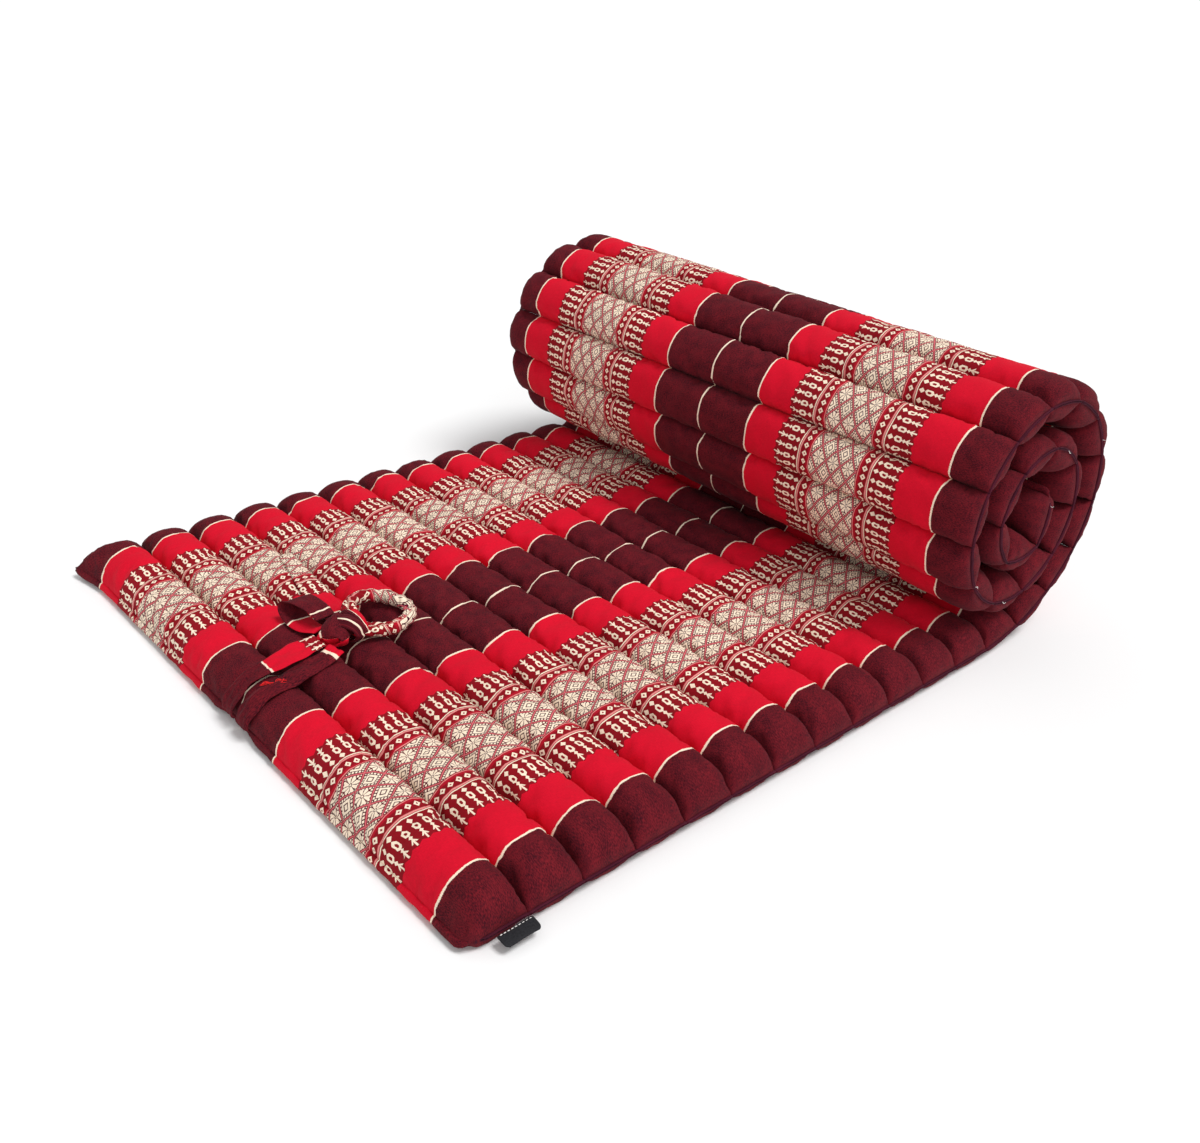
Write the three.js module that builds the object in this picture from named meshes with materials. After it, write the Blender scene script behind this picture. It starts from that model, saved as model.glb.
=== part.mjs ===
// Roll-up futon mattress: a cotton cover sewn across its width into stuffed channels.
// One end lies flat, and the other is rolled up on top of it in a coil of a little over two turns.
// Millimetres. +X runs from the free end towards the roll, +Y across the mattress, +Z up.
// The origin is on the floor, under the middle of the flat part.
import * as THREE from "three";

// ---- Driving dimensions ----
const width = 722; // over both side seams
const pitch = 55.5; // from one sewn line across the mattress to the next
const flatChannels = 13; // channels that lie on the floor
const rolledChannels = 22; // channels in the roll
const topRise = 24; // sewn line up to the crown of a channel
const bottomDrop = 20; // sewn line down to the floor
const endLength = 38; // length of a channel's rounded end
const seamDroop = 10; // how far the outer seams of the flat part hang below the sewn lines
const plumpness = 2.3; // exponent of a channel's section: 2 is an ellipse, more is squarer

const rollSetBack = 24.5; // from the flat part's last sewn line back to the roll's centre
const coreRadius = 41.6; // of the sewn lines at the roll's core
const rollSlack = 2; // room between the layers of the roll
const rollSink = 3; // how far each turn settles below the one around it
const rollLean = 2; // and how far it sits towards the roll's outer side

const cloth = 0.8; // thickness of the cover cloth
const gap = 0.3; // clearance between neighbouring pieces
const seamDepth = 3.7; // how far the sewn side edges stand out from the cover
const seamThickness = 3; // of the turned-in and sewn edges
const hemLength = 9; // of the folded edge at each end of the mattress

const bandWidth = 26; // of a tie band laid flat
const bandThickness = 2.4; // a folded strip of cloth
const ringDiameter = 15; // of the band where it is twisted into the bow's ring
const knotSize = [36, 30, 22];
const labelLength = 34; // along the seam
const labelDepth = 13; // out from the seam
const labelThickness = 1.2;
const labelFromCorner = 23; // from the free end's sewn line to the label

// ---- Sizes that follow from them ----
const channels = flatChannels + rolledChannels;
const originX = (flatChannels * pitch) / 2;
const halfCover = width / 2 - seamDepth - gap;
const lineHeight = bottomDrop;
const crownHeight = bottomDrop + topRise;
const hemHeight = lineHeight - seamDroop;
const rollCentre = flatChannels * pitch - rollSetBack;
const rollSpacing = bottomDrop + topRise + rollSlack; // what the radius loses in each turn
const rolledLength = rolledChannels * pitch;
const rollRadius = Math.sqrt(coreRadius ** 2 + (rollSpacing * rolledLength) / Math.PI);

// ---- Where the sewn lines run, seen from the side ----

// A point on the roll's spiral, after an angle measured from straight below its centre.
function spiralPoint(angle) {
  const turns = angle / (2 * Math.PI);
  const radius = rollRadius - rollSpacing * turns;
  const x = rollCentre + rollLean * turns + radius * Math.sin(angle);
  const z = lineHeight + rollRadius - rollSink * turns - radius * Math.cos(angle);
  return [x - originX, z];
}

// The angle whose spiral point lies one pitch beyond a point.
function nextAngle(from, startAngle) {
  let low = startAngle;
  let high = startAngle + 1.6;
  for (let i = 0; i < 60; i++) {
    const middle = (low + high) / 2;
    const [x, z] = spiralPoint(middle);
    if (Math.hypot(x - from[0], z - from[1]) < pitch) {
      low = middle;
    } else {
      high = middle;
    }
  }
  return (low + high) / 2;
}

function sewnLines() {
  const lines = [];
  for (let k = 0; k <= flatChannels; k++) {
    lines.push([k * pitch - originX, lineHeight]);
  }
  let angle = 0;
  for (let k = 0; k < rolledChannels; k++) {
    angle = nextAngle(lines[lines.length - 1], angle);
    lines.push(spiralPoint(angle));
  }
  return lines;
}

const line = sewnLines();

// Each channel's direction along the mattress, as an angle up from +X.
const heading = [];
for (let k = 0; k < channels; k++) {
  heading.push(Math.atan2(line[k + 1][1] - line[k][1], line[k + 1][0] - line[k][0]));
  while (k > 0 && heading[k] < heading[k - 1] - 1e-9) {
    heading[k] += 2 * Math.PI;
  }
}

// Half of the bend at sewn line k, as a tangent.
function halfBend(k) {
  return k < 1 || k >= channels ? 0 : Math.tan((heading[k] - heading[k - 1]) / 2);
}

// ---- The shape of a channel ----

const sectionSteps = 6; // from one sewn line to the next
const endStations = [0, 9, endLength]; // distances in from the side seam

function power(value) {
  return Math.sign(value) * Math.abs(value) ** (2 / plumpness);
}

// How full the channel is at a distance in from the side seam, from 0 to 1.
function fullness(distance) {
  return Math.sqrt(1 - (1 - Math.min(distance / endLength, 1)) ** 2);
}

// How far the flat part's edges hang, at a place along the mattress and in from the side seam.
function droop(k, along, distance) {
  const place = k + along;
  const flatness = Math.max(0, Math.min(1, flatChannels - place));
  const side = flatness * (1 - Math.min(distance / endLength, 1)) ** 2;
  const end = Math.max(0, 1 - place) ** 2;
  return seamDroop * Math.max(side, end);
}

// A point at (along, height) in channel k's own section, carried into the part's frame.
// The upper side, which the roll squeezes, narrows between the planes that halve the two bends.
function place(k, u, height, y, sag, lowest) {
  const share = u / pitch;
  const wedge = halfBend(k) * (1 - share) - halfBend(k + 1) * share;
  const atLine = share < 0.02 || share > 0.98;
  const along = u + (height > 0 || atLine ? height * wedge : 0);
  const rise = height - sag;
  const [c, s] = [Math.cos(heading[k]), Math.sin(heading[k])];
  const x = line[k][0] + along * c - rise * s;
  const z = line[k][1] + along * s + rise * c;
  return [x, y, k < flatChannels ? Math.max(z, lowest) : z];
}

// How far a channel stands out from its sewn lines. The flat part's underside is pressed flat.
function crown(k, side) {
  return side > 0 ? topRise : bottomDrop * (k < flatChannels ? 1.15 : 1);
}

// A point on a channel's upper (side 1) or lower (side -1) surface, a depth in from the outside.
// Step 0 and the last step lie on the sewn lines.
function surfacePoint(k, step, side, y, distance, depth, ends) {
  const turn = (Math.PI * step) / sectionSteps;
  const onLine = step === 0 || step === sectionSteps;
  const reach = pitch / 2 - depth - ends;
  const u = pitch / 2 - reach * power(Math.cos(turn));
  const swell = onLine ? 0 : power(Math.sin(turn)) * fullness(distance);
  const height = gap / 2 + cloth - depth + (crown(k, side) - gap / 2 - cloth) * swell;
  const sag = droop(k, u / pitch, distance);
  return place(k, u, side * height, y, sag, depth);
}

// ---- Meshes ----

const parts = new THREE.Group();

function addMesh(name, triangles, colour, roughness) {
  const geometry = new THREE.BufferGeometry();
  geometry.setAttribute("position", new THREE.Float32BufferAttribute(triangles.flat(2), 3));
  geometry.computeVertexNormals();
  const material = new THREE.MeshStandardMaterial({ color: colour, roughness, metalness: 0 });
  const mesh = new THREE.Mesh(geometry, material);
  mesh.name = name;
  parts.add(mesh);
}

function quad(triangles, a, b, c, d) {
  triangles.push([a, b, c], [a, c, d]);
}

// A closed solid through a row of rings that run the same way round.
function loft(rings) {
  const triangles = [];
  const count = rings[0].length;
  for (let r = 0; r + 1 < rings.length; r++) {
    for (let i = 0; i < count; i++) {
      const j = (i + 1) % count;
      quad(triangles, rings[r][i], rings[r][j], rings[r + 1][j], rings[r + 1][i]);
    }
  }
  for (const [ring, flip] of [
    [rings[0], true],
    [rings[rings.length - 1], false],
  ]) {
    const middle = [0, 1, 2].map((a) => ring.reduce((sum, p) => sum + p[a], 0) / count);
    for (let i = 0; i < count; i++) {
      const j = (i + 1) % count;
      triangles.push(flip ? [middle, ring[j], ring[i]] : [middle, ring[i], ring[j]]);
    }
  }
  return triangles;
}

// A closed sheet between two grids of points, the outer one seen from outside.
// Its facets fold along the same diagonals as the filling behind it.
function sheet(outer, inner, side) {
  const triangles = [];
  const rows = outer.length;
  const columns = outer[0].length;
  for (let r = 0; r + 1 < rows; r++) {
    for (let c = 0; c + 1 < columns; c++) {
      const corners = [[r, c], [r + 1, c], [r + 1, c + 1], [r, c + 1]];
      const order = side > 0 ? [0, 1, 2, 3] : [1, 2, 3, 0];
      const back = side > 0 ? [0, 3, 2, 1] : [1, 0, 3, 2];
      quad(triangles, ...order.map((i) => outer[corners[i][0]][corners[i][1]]));
      quad(triangles, ...back.map((i) => inner[corners[i][0]][corners[i][1]]));
    }
    quad(triangles, outer[r][0], inner[r][0], inner[r + 1][0], outer[r + 1][0]);
    const e = columns - 1;
    quad(triangles, outer[r][e], outer[r + 1][e], inner[r + 1][e], inner[r][e]);
  }
  for (let c = 0; c + 1 < columns; c++) {
    const e = rows - 1;
    quad(triangles, outer[0][c], outer[0][c + 1], inner[0][c + 1], inner[0][c]);
    quad(triangles, outer[e][c], inner[e][c], inner[e][c + 1], outer[e][c + 1]);
  }
  return triangles;
}

function turned(triangles) {
  return triangles.map(([a, b, c]) => [a, c, b]);
}

// Places across the width: [y, distance in from the nearer side seam].
function acrossCover(inset) {
  const near = endStations.map((d) => [-halfCover + inset + d, d]);
  return [...near, ...near.map(([y, d]) => [-y, d]).reverse()];
}

// ---- Fillings: one roll of kapok in each channel ----
function filling(k) {
  const inset = cloth + 2 * gap;
  const stations = acrossCover(inset).slice(1, -1); // it stops short of the side seams
  const rings = stations.map(([y, d]) => {
    const ring = [];
    for (let step = 0; step <= sectionSteps; step++) {
      ring.push(fillingPoint(k, step, 1, y, d));
    }
    for (let step = sectionSteps - 1; step > 0; step--) {
      ring.push(fillingPoint(k, step, -1, y, d));
    }
    return ring;
  });
  const number = String(k + 1).padStart(2, "0");
  addMesh(`filling_${number}`, loft(rings), 0xe9dfc4, 0.95);
}

function fillingPoint(k, step, side, y, distance) {
  const turn = (Math.PI * step) / sectionSteps;
  const reach = pitch / 2 - cloth - 2 * gap;
  const u = pitch / 2 - reach * power(Math.cos(turn));
  const onLine = step === 0 || step === sectionSteps;
  const swell = onLine ? 0 : power(Math.sin(turn)) * fullness(distance);
  const height = (crown(k, side) - cloth - 1.5 * gap) * swell;
  return place(k, u, side * height, y, droop(k, u / pitch, distance), cloth + gap);
}

// ---- Covers: an upper and a lower cloth, sewn together along every line ----
function cover(name, side, first, last, colour) {
  const outer = [];
  const inner = [];
  for (let k = first; k < last; k++) {
    for (let step = 0; step <= sectionSteps; step++) {
      if (step === sectionSteps && k + 1 < last) {
        continue; // the next channel starts on the same line
      }
      const isFirst = k === first && step === 0;
      const isLast = k + 1 === last && step === sectionSteps;
      const ends = isFirst || isLast ? gap : 0;
      outer.push(coverRow(k, step, side, 0, ends));
      inner.push(coverRow(k, step, side, cloth, ends));
    }
  }
  const triangles = sheet(outer, inner, side);
  addMesh(name, side > 0 ? triangles : turned(triangles), colour, 0.85);
}

function coverRow(k, step, side, depth, ends) {
  const onLine = step === 0 || step === sectionSteps;
  return acrossCover(0).map(([y, d]) => {
    if (!onLine) {
      return surfacePoint(k, step, side, y, d, depth, 0);
    }
    const u = step === 0 ? ends : pitch - ends;
    const height = side * (gap / 2 + cloth - depth);
    return place(k, u, height, y, droop(k, u / pitch, d), depth);
  });
}

// ---- Side seams: both cloths turned in and sewn together ----
function sideSeam(name, side, first, last) {
  const rings = [];
  const outerY = side * (width / 2);
  const innerY = side * (halfCover + gap);
  for (let k = first; k <= last; k++) {
    const channel = Math.min(k, channels - 1);
    const u = k === first ? gap : k === last ? pitch - gap : 0;
    const at = k === last ? last - 1 : channel;
    const half = seamThickness / 2;
    const sag = droop(at, u / pitch, 0);
    const corner = (height, y) => place(at, u, height, y, sag, 0);
    rings.push([corner(-half, innerY), corner(-half, outerY), corner(half, outerY), corner(half, innerY)]);
    if (k < last) {
      const middleSag = droop(k, 0.5, 0);
      const middle = (height, y) => place(k, pitch / 2, height, y, middleSag, 0);
      rings.push([middle(-half, innerY), middle(-half, outerY), middle(half, outerY), middle(half, innerY)]);
    }
  }
  const triangles = loft(rings);
  addMesh(name, side < 0 ? turned(triangles) : triangles, 0x3a141c, 0.85);
}

// ---- Hems: the folded edges at the two ends of the mattress ----
function hem(name, k, from, to) {
  const half = seamThickness / 2;
  const sag = droop(k, from < 0 ? 0 : 1, endLength);
  const rings = [from, to].map((u) => {
    const corner = (height, y) => place(k, u, height, y, sag, 0);
    const y = halfCover;
    return [corner(-half, -y), corner(half, -y), corner(half, y), corner(-half, y)];
  });
  addMesh(name, turned(loft(rings)), 0x4a1a22, 0.85);
}

// ---- Ties: two bands sewn to the free end and knotted in a bow on top of the flat part ----
// Their routes are measured from the free end's sewn line and the middle of the width.

// A height above the crowns of the channels.
function above(rise) {
  return crownHeight + rise;
}

// A height on the way up the free end, from its hem (0) to the crowns (1).
function climb(share) {
  return hemHeight + share * (crownHeight - hemHeight);
}

const ringLift = ringDiameter / 2 + 1;

const strapLeftRoute = [
  [-3.7, 12, climb(0.105)],
  [-2.4, 11, climb(0.35)],
  [3, 8, climb(0.62)],
  [14, 7, climb(0.93)],
  [28, 5, above(4)],
  [42, 5, above(6)],
  [61, 8, above(6.5)],
  [78, 12, above(7)],
  [93, 12, above(9)],
];
const strapRightRoute = [
  [-3.7, -15, climb(0.105)],
  [-2.4, -16, climb(0.35)],
  [3, -19, climb(0.62)],
  [14, -22, climb(0.91)],
  [28, -22, above(1.6)],
  [43, -19, above(1.8)],
  [64, -14, above(2)],
  [85, -10, above(4.5)],
  [99, -6, above(7)],
];
const bowRoute = [
  [111, 30, above(19.5)],
  [110, 50, above(23)],
  [107, 72, above(21.5)],
  [103, 82, above(16)],
  [100, 79, above(9.5)],
  [99, 62, above(5.5)],
  [101, 42, above(6)],
  [105, 29.5, above(8.5)],
];
const tailRoute = [
  [134, 29, above(5.5)],
  [134, 50, above(5)],
  [137, 77, above(4)],
  [142, 108, above(3.5)],
  [147, 140, above(3)],
  [153, 170, above(2.5)],
  [156, 196, above(2.5)],
];
const ringRoute = [
  [138.5, 31, above(ringLift + 8.5)],
  [150, 49, above(ringLift + 5)],
  [168, 58, above(ringLift + 2)],
  [185, 50, above(ringLift + 0.5)],
  [194, 33, above(ringLift)],
  [195, 14, above(ringLift)],
  [185, -1, above(ringLift)],
  [168, -9, above(ringLift + 0.5)],
  [152, -8, above(ringLift + 1.5)],
  [139, -2, above(ringLift + 3.5)],
];
const knotCentre = [118, 12, above(14)];

function route(points) {
  return new THREE.CatmullRomCurve3(
    points.map(([x, y, z]) => new THREE.Vector3(x - originX, y, z)),
    false,
    "centripetal",
  );
}

// A flat band along a route. Its width lies along the direction given, or level where that is left out.
function band(name, points, colour, across) {
  const curve = route(points);
  const steps = 2 * (points.length - 1);
  const rings = [];
  for (let i = 0; i <= steps; i++) {
    const at = curve.getPoint(i / steps);
    const tangent = curve.getTangent(i / steps);
    const level = new THREE.Vector3(-tangent.y, tangent.x, 0).normalize();
    const wide = (across ? across.clone() : level).multiplyScalar(bandWidth / 2);
    const thick = new THREE.Vector3().crossVectors(tangent, wide).setLength(bandThickness / 2);
    const corner = (a, b) => at.clone().addScaledVector(wide, a).addScaledVector(thick, b).toArray();
    rings.push([corner(-1, -1), corner(1, -1), corner(1, 1), corner(-1, 1)]);
  }
  addMesh(name, loft(rings), colour, 0.85);
}

function ring() {
  const curve = route(ringRoute);
  const steps = 20;
  const sides = 10;
  const frames = curve.computeFrenetFrames(steps, false);
  const rings = [];
  for (let i = 0; i <= steps; i++) {
    const at = curve.getPointAt(i / steps);
    const section = [];
    for (let j = 0; j < sides; j++) {
      const turn = (2 * Math.PI * j) / sides;
      const out = frames.normals[i].clone().multiplyScalar(Math.cos(turn));
      out.addScaledVector(frames.binormals[i], Math.sin(turn));
      section.push(at.clone().addScaledVector(out, ringDiameter / 2).toArray());
    }
    rings.push(section);
  }
  addMesh("tie_ring", loft(rings), 0xb7463f, 0.85);
}

function knot() {
  const geometry = new THREE.IcosahedronGeometry(1, 2);
  geometry.scale(knotSize[0] / 2, knotSize[1] / 2, knotSize[2] / 2);
  geometry.translate(knotCentre[0] - originX, knotCentre[1], knotCentre[2]);
  const material = new THREE.MeshStandardMaterial({ color: 0x4a1a22, roughness: 0.85, metalness: 0 });
  const mesh = new THREE.Mesh(geometry, material);
  mesh.name = "tie_knot";
  parts.add(mesh);
}

// ---- Label: a small folded tag caught in the near side seam ----
function label() {
  const outline = new THREE.Shape();
  const corner = 3;
  outline.moveTo(0, 0);
  outline.lineTo(labelLength, 0);
  outline.lineTo(labelLength, corner - labelDepth);
  outline.absarc(labelLength - corner, corner - labelDepth, corner, 0, -Math.PI / 2, true);
  outline.lineTo(corner, -labelDepth);
  outline.absarc(corner, corner - labelDepth, corner, -Math.PI / 2, -Math.PI, true);
  outline.closePath();
  const settings = { depth: labelThickness, bevelEnabled: false, curveSegments: 3 };
  const geometry = new THREE.ExtrudeGeometry(outline, settings);
  geometry.translate(labelFromCorner - originX, -width / 2 - gap, hemHeight - labelThickness / 2);
  const material = new THREE.MeshStandardMaterial({ color: 0x141414, roughness: 0.7, metalness: 0 });
  const mesh = new THREE.Mesh(geometry, material);
  mesh.name = "label";
  parts.add(mesh);
}

for (let k = 0; k < channels; k++) {
  filling(k);
}
cover("cover_top_flat", 1, 0, flatChannels, 0x7d1a24);
cover("cover_bottom_flat", -1, 0, flatChannels, 0x7d1a24);
cover("cover_top_roll", 1, flatChannels, channels, 0x7d1a24);
cover("cover_bottom_roll", -1, flatChannels, channels, 0x7d1a24);
sideSeam("side_seam_near_flat", -1, 0, flatChannels);
sideSeam("side_seam_far_flat", 1, 0, flatChannels);
sideSeam("side_seam_near_roll", -1, flatChannels, channels);
sideSeam("side_seam_far_roll", 1, flatChannels, channels);
hem("hem_free_end", 0, -hemLength, -gap);
hem("hem_roll_end", channels - 1, pitch + gap, pitch + hemLength);

const acrossMattress = new THREE.Vector3(0, 1, 0);
band("tie_strap_left", strapLeftRoute, 0x4a1a22, acrossMattress);
band("tie_strap_right", strapRightRoute, 0x4a1a22, acrossMattress);
band("tie_bow", bowRoute, 0x4a1a22, new THREE.Vector3(-1, 0, 0));
band("tie_tail", tailRoute, 0xc41a2a);
ring();
knot();
label();

export default parts;
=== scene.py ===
"""A roll-up mattress of striped cotton, sewn across into stuffed channels, with knotted tie bands.

Metres. +X runs from the free end to the roll, +Y across the mattress, +Z up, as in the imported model.
Lengths in the tables below are millimetres and are turned into metres where a mesh is made.
"""

import random
from math import acos, atan2, copysign, cos, exp, hypot, pi, radians, sin, sqrt, tan

import bmesh
import bpy
from mathutils import Matrix, Vector, noise


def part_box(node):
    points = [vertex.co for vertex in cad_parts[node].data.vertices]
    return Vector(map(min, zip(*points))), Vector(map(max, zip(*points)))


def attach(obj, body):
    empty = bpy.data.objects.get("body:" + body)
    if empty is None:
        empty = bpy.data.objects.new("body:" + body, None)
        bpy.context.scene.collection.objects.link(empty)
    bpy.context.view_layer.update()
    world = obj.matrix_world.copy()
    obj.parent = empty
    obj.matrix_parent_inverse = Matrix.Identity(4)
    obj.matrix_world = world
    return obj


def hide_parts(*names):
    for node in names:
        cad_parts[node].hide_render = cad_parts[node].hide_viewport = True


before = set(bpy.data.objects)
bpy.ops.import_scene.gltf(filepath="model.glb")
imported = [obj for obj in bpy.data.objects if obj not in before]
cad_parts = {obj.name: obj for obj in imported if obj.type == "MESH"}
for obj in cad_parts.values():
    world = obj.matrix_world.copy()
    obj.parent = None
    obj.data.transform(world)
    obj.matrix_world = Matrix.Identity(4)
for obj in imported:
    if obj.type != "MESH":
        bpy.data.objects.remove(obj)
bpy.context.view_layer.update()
bpy.ops.object.select_all(action="DESELECT")

MM = 0.001


def new_object(name, data):
    """Puts a mesh, a camera or a lamp into the scene."""
    thing = bpy.data.objects.new(name, data)
    bpy.context.scene.collection.objects.link(thing)
    return thing


# ---- Camera ----

CAMERA_TURNS = (47.489, 28.480, 2.877)  # round from +X, down and sideways, in degrees
CAMERA_PLACE = (-0.72658, -0.87795, 0.66696)
LENS = 36.07
SEE_TO = 200.0


def add_camera():
    """Looks down over the free end, along the mattress to the roll."""
    yaw, pitch, tilt = (radians(a) for a in CAMERA_TURNS)
    ahead = Vector((cos(pitch) * cos(yaw), cos(pitch) * sin(yaw), -sin(pitch)))
    level = Vector((sin(yaw), -cos(yaw), 0.0))
    above = level.cross(ahead)
    right = cos(tilt) * level + sin(tilt) * above
    up = -sin(tilt) * level + cos(tilt) * above
    data = bpy.data.cameras.new("camera")
    data.lens = LENS
    data.clip_end = SEE_TO
    camera = new_object("camera", data)
    turn = Matrix((right, up, -ahead)).transposed().to_4x4()
    camera.matrix_world = Matrix.Translation(CAMERA_PLACE) @ turn
    bpy.context.scene.camera = camera


add_camera()

# ---- The mattress's own sizes ----

PITCH = 55.5  # from one sewn line to the next
FLAT = 13  # channels that lie on the floor
ROLLED = 22
CHANNELS = FLAT + ROLLED
TOP_RISE = 24.0  # of a channel's crown over its sewn lines
BOTTOM_DROP = 20.0  # and of its underside below them
END_LENGTH = 38.0  # over which the sewn lines run down to the side seam
SEAM_DROOP = 10.0  # how far the side seam hangs below the sewn lines
PLUMPNESS = 2.3  # 2 makes a channel oval, and more makes it squarer
HALF_COVER = 357.0  # from the middle of the mattress to its side seam
ORIGIN_X = FLAT * PITCH / 2
LINE_HEIGHT = BOTTOM_DROP
CROWN_HEIGHT = BOTTOM_DROP + TOP_RISE
HEM_HEIGHT = LINE_HEIGHT - SEAM_DROOP
ROLL_SET_BACK = 24.5  # of the roll's centre from where the flat part ends
ROLL_SLACK = 2.0  # room between the layers of the roll
ROLL_LEAN = 2.0  # how far each turn sits towards the roll's outer side
ROLL_SINK = 3.0  # and how far it settles below the turn around it
ROLL_CORE = 41.6  # radius of the innermost turn
ROLL_CENTRE = FLAT * PITCH - ROLL_SET_BACK
ROLL_SPACING = BOTTOM_DROP + TOP_RISE + ROLL_SLACK
ROLL_RADIUS = sqrt(ROLL_CORE**2 + ROLL_SPACING * ROLLED * PITCH / pi)
WIDEST_TURN = 1.6  # radians, more than one channel takes up on the spiral
HALVINGS = 60  # of that turn, to find a channel's far line
SKIN = 0.35  # half the thickness of the two covers at a sewn line
FLOOR_CLEARANCE = 0.3


def spiral_point(angle):
    """A point on the roll's spiral, after an angle from straight below its centre."""
    turns = angle / (2 * pi)
    radius = ROLL_RADIUS - ROLL_SPACING * turns
    x = ROLL_CENTRE + ROLL_LEAN * turns + radius * sin(angle)
    z = LINE_HEIGHT + ROLL_RADIUS - ROLL_SINK * turns - radius * cos(angle)
    return (x - ORIGIN_X, z)


def sewn_lines():
    """Where the sewn lines run, seen from the side: along the floor, then round the roll."""
    lines = [(k * PITCH - ORIGIN_X, LINE_HEIGHT) for k in range(FLAT + 1)]
    angle = 0.0
    for _ in range(ROLLED):
        low, high = angle, angle + WIDEST_TURN
        for _ in range(HALVINGS):
            middle = (low + high) / 2
            x, z = spiral_point(middle)
            if hypot(x - lines[-1][0], z - lines[-1][1]) < PITCH:
                low = middle
            else:
                high = middle
        angle = (low + high) / 2
        lines.append(spiral_point(angle))
    return lines


LINES = sewn_lines()
HEADINGS = []
for k in range(CHANNELS):
    heading = atan2(LINES[k + 1][1] - LINES[k][1], LINES[k + 1][0] - LINES[k][0])
    while HEADINGS and heading < HEADINGS[-1] - 1e-9:
        heading += 2 * pi
    HEADINGS.append(heading)


def half_bend(k):
    """How far two channels lean towards each other at line k, for each millimetre of height."""
    return tan((HEADINGS[k] - HEADINGS[k - 1]) / 2) if 1 <= k < CHANNELS else 0.0


def channel_body(k):
    return "flat_part" if k < FLAT else f"channel_{k + 1:02d}"


def clamp(value, low=0.0, high=1.0):
    return max(low, min(high, value))


def power(value):
    """Squares off a sine or cosine to a stuffed channel's section."""
    return copysign(abs(value) ** (2 / PLUMPNESS), value)


def droop(k, share, distance):
    """How far the cover hangs at the mattress's edges, where it runs down to the seam and the hem."""
    place = k + share
    side = clamp(FLAT - place) * (1 - min(distance / END_LENGTH, 1)) ** 2
    return SEAM_DROOP * max(side, max(0.0, 1 - place) ** 2)


def in_place(k, along, height, y, sag=0.0, lowest=FLOOR_CLEARANCE):
    """A point of channel k, in metres: along the channel's chord, up from it and across the mattress.

    On the inside of the roll, neighbours are pressed flat against each other where they meet."""
    share = along / PITCH
    wedge = half_bend(k) * (1 - share) - half_bend(k + 1) * share
    if height > 0:
        along += height * wedge
    rise = height - sag
    c, s = cos(HEADINGS[k]), sin(HEADINGS[k])
    x = LINES[k][0] + along * c - rise * s
    z = LINES[k][1] + along * s + rise * c
    return Vector((x, y, max(z, lowest))) * MM


def new_piece(name, points, faces, material, uv=None):
    """A mesh piece from points in metres and a cloth map in millimetres, its faces turned outwards."""
    mesh = bpy.data.meshes.new(name)
    mesh.from_pydata([tuple(p) for p in points], [], faces)
    if uv:
        layer = mesh.uv_layers.new(name="cloth")
        for loop in mesh.loops:
            across, along = uv[loop.vertex_index]
            layer.data[loop.index].uv = (across * MM, along * MM)
    work = bmesh.new()
    work.from_mesh(mesh)
    bmesh.ops.recalc_face_normals(work, faces=work.faces)
    work.to_mesh(mesh)
    work.free()
    mesh.materials.append(material)
    mesh.polygons.foreach_set("use_smooth", [True] * len(mesh.polygons))
    return new_object(name, mesh)


def strip(rows, sides, close=True):
    """Faces round and along a run of closed rows of points, with or without its two ends."""
    faces = []
    for r in range(rows - 1):
        for i in range(sides):
            j = (i + 1) % sides
            faces.append((r * sides + i, r * sides + j, (r + 1) * sides + j, (r + 1) * sides + i))
    if close:
        faces += [tuple(range(sides)), tuple((rows - 1) * sides + i for i in range(sides))]
    return faces


FINE_STEPS = 24  # between two given points of a route, before it is spaced evenly


def smooth_route(points, steps):
    """Evenly spaced points on a smooth curve through the given ones, and the curve's length."""
    points = [Vector(p) for p in points]
    ends = [points[0] * 2 - points[1], *points, points[-1] * 2 - points[-2]]
    fine = []
    for a, b, c, d in zip(ends, ends[1:], ends[2:], ends[3:]):
        for i in range(FINE_STEPS):
            t = i / FINE_STEPS
            bend = (2 * a - 5 * b + 4 * c - d) * t**2
            fine.append(0.5 * (2 * b + (c - a) * t + bend + (3 * b - a - 3 * c + d) * t**3))
    fine.append(points[-1])
    length = [0.0]
    for a, b in zip(fine, fine[1:]):
        length.append(length[-1] + (b - a).length)
    out, j = [], 0
    for i in range(steps + 1):
        want = length[-1] * i / steps
        while j < len(fine) - 2 and length[j + 1] < want:
            j += 1
        share = (want - length[j]) / max(length[j + 1] - length[j], 1e-9)
        out.append(fine[j].lerp(fine[j + 1], clamp(share)))
    return out, length[-1]


def way_along(path, i):
    """The way a path runs at its point i."""
    return (path[min(i + 1, len(path) - 1)] - path[max(i - 1, 0)]).normalized()


# ---- Finishes ----


def colour(red, green, blue):
    """A dyer's colour card value as the light a material works in."""

    def linear(value):
        value /= 255
        return value / 12.92 if value <= 0.04045 else ((value + 0.055) / 1.055) ** 2.4

    return (linear(red), linear(green), linear(blue), 1.0)


CREAM = colour(250, 230, 206)
RED = colour(212, 14, 42)
MAROON = colour(122, 26, 36)
MAROON_DEEP = colour(54, 10, 22)
DARK_RED = colour(140, 16, 28)
PINK = colour(226, 138, 134)

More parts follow.
